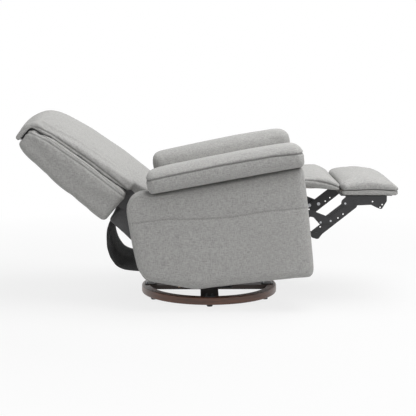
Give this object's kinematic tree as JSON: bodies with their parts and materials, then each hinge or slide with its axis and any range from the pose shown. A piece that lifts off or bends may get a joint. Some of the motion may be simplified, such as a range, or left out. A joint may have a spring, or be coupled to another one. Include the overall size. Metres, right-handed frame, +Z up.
{
  "type": "swivel recliner",
  "caption": "Upholstered recliner that turns on a round wooden base, tilts, leans its back and folds its footrest on a crank linkage",
  "frame": {"origin": "on the floor, at the vertical axis of the swivel in the middle of the base ring", "axes": "+X is the way the sitter faces, +Y is the sitter's left, +Z is up; drawn fully reclined with the footrest out"},
  "size_m": [1.5026, 0.85, 0.7858],
  "materials": {
    "walnut_ring": "stained walnut, satin lacquer",
    "dark_stained_board": "dark stain, matt",
    "black_steel": "black enamel, semi-gloss",
    "zinc_steel": "zinc plated",
    "black_rubber": "moulded, matt",
    "pine": "planed, unfinished",
    "plywood": "sawn, unfinished",
    "black_webbing": "woven webbing",
    "grey_upholstery": "woven pale grey upholstery cloth",
    "dark_grey_lining": "plain dark grey lining cloth",
    "black_dust_cloth": "thin black non-woven cloth"
  },
  "bodies": {
    "base": {"base_ring": "walnut_ring", "cross_board_long": "dark_stained_board", "cross_board_wide": "dark_stained_board", "ring_tabs": "black_steel", "glide_feet": "black_rubber", "base_screws": "zinc_steel", "swivel_base_plate": "black_steel", "lower_race": "zinc_steel", "bearing_balls": "zinc_steel", "king_bolt": "zinc_steel"},
    "swivel": {"upper_race": "zinc_steel", "swivel_cradle": "black_steel", "tilt_shaft": "zinc_steel", "tilt_bumpers": "black_rubber"},
    "body": {"tilt_bracket": "black_steel", "tilt_bushes": "black_rubber", "front_cross_rail": "pine", "rear_cross_rail": "pine", "rear_low_rail": "pine", "side_rail_left": "plywood", "side_rail_right": "plywood", "spring_rail_front": "pine", "spring_rail_rear": "pine", "seat_webbing": "black_webbing", "seat_cushion": "grey_upholstery", "arm_board_left": "plywood", "arm_board_right": "plywood", "arm_panel_left": "grey_upholstery", "arm_panel_right": "grey_upholstery", "arm_pad_left": "grey_upholstery", "arm_pad_right": "grey_upholstery", "side_plate_left": "black_steel", "side_plate_right": "black_steel", "crank_pivot_pins": "zinc_steel", "back_hinge_pins": "zinc_steel", "rear_cover": "black_dust_cloth"},
    "release": {"release_strap": "black_webbing"},
    "back": {"back_stiles": "pine", "back_crossbars": "pine", "back_webbing": "black_webbing", "back_shell": "grey_upholstery", "back_cushion": "grey_upholstery", "back_foot_roll": "grey_upholstery", "back_tail": "dark_grey_lining", "back_brackets": "black_steel"},
    "front_cranks": {"torque_tube": "black_steel", "front_crank_left": "black_steel", "front_crank_right": "black_steel", "front_crank_rivets": "zinc_steel"},
    "rear_crank_left": {"rear_crank_left": "black_steel"},
    "rear_crank_right": {"rear_crank_right": "black_steel"},
    "main_link_left": {"main_link_left": "black_steel"},
    "main_link_right": {"main_link_right": "black_steel"},
    "upper_bar_left": {"upper_bar_left": "black_steel"},
    "upper_bar_right": {"upper_bar_right": "black_steel"},
    "footrest": {"footrest_brackets": "black_steel", "footrest_rivets": "zinc_steel", "footrest_board": "plywood", "footrest_pad": "grey_upholstery"}
  },
  "joints": [
    {"name": "swivel_turn", "type": "hinge", "parent": "base", "child": "swivel", "pos_m": [0, 0, 0.046], "axis": [0, 0, 1], "continuous": true},
    {"name": "body_tilt", "type": "hinge", "parent": "swivel", "child": "body", "pos_m": [0.01, 0, 0.072], "axis": [0, 1, 0], "range_deg": [0, 12]},
    {"name": "back_recline", "type": "hinge", "parent": "body", "child": "back", "pos_m": [-0.17974, 0, 0.42753], "axis": [0, 1, 0], "range_deg": [0, 40], "deforming": ["rear_cover"]},
    {"name": "footrest_drive", "type": "hinge", "parent": "body", "child": "front_cranks", "pos_m": [0.32795, 0, 0.37904], "axis": [0, 1, 0], "range_deg": [0, 86]},
    {"name": "rear_crank_left_turn", "type": "hinge", "parent": "body", "child": "rear_crank_left", "pos_m": [0.27743, 0, 0.32093], "axis": [0, 1, 0], "range_deg": [0, 86]},
    {"name": "rear_crank_right_turn", "type": "hinge", "parent": "body", "child": "rear_crank_right", "pos_m": [0.27743, 0, 0.32093], "axis": [0, 1, 0], "range_deg": [0, 86]},
    {"name": "main_link_left_turn", "type": "hinge", "parent": "front_cranks", "child": "main_link_left", "pos_m": [0.47767, 0, 0.33892], "axis": [0, 1, 0], "range_deg": [-86, 0]},
    {"name": "main_link_right_turn", "type": "hinge", "parent": "front_cranks", "child": "main_link_right", "pos_m": [0.47767, 0, 0.33892], "axis": [0, 1, 0], "range_deg": [-86, 0]},
    {"name": "upper_bar_left_turn", "type": "hinge", "parent": "front_cranks", "child": "upper_bar_left", "pos_m": [0.43806, 0, 0.33335], "axis": [0, 1, 0], "range_deg": [-86, 0]},
    {"name": "upper_bar_right_turn", "type": "hinge", "parent": "front_cranks", "child": "upper_bar_right", "pos_m": [0.43806, 0, 0.33335], "axis": [0, 1, 0], "range_deg": [-86, 0]},
    {"name": "footrest_turn", "type": "hinge", "parent": "main_link_left", "child": "footrest", "pos_m": [0.57381, 0, 0.41403], "axis": [0, 1, 0], "range_deg": [0, 86]},
    {"name": "release_pull", "type": "slide", "parent": "body", "child": "release", "axis": [-0.1219, 0, 0.9925], "range_m": [0, 0.035]}
  ],
  "couplings": [
    {"joint": "rear_crank_left_turn", "follows": "footrest_drive", "ratio": 1},
    {"joint": "rear_crank_right_turn", "follows": "footrest_drive", "ratio": 1},
    {"joint": "main_link_left_turn", "follows": "footrest_drive", "ratio": -1},
    {"joint": "main_link_right_turn", "follows": "footrest_drive", "ratio": -1},
    {"joint": "upper_bar_left_turn", "follows": "footrest_drive", "ratio": -1},
    {"joint": "upper_bar_right_turn", "follows": "footrest_drive", "ratio": -1},
    {"joint": "footrest_turn", "follows": "footrest_drive", "ratio": 1}
  ]
}
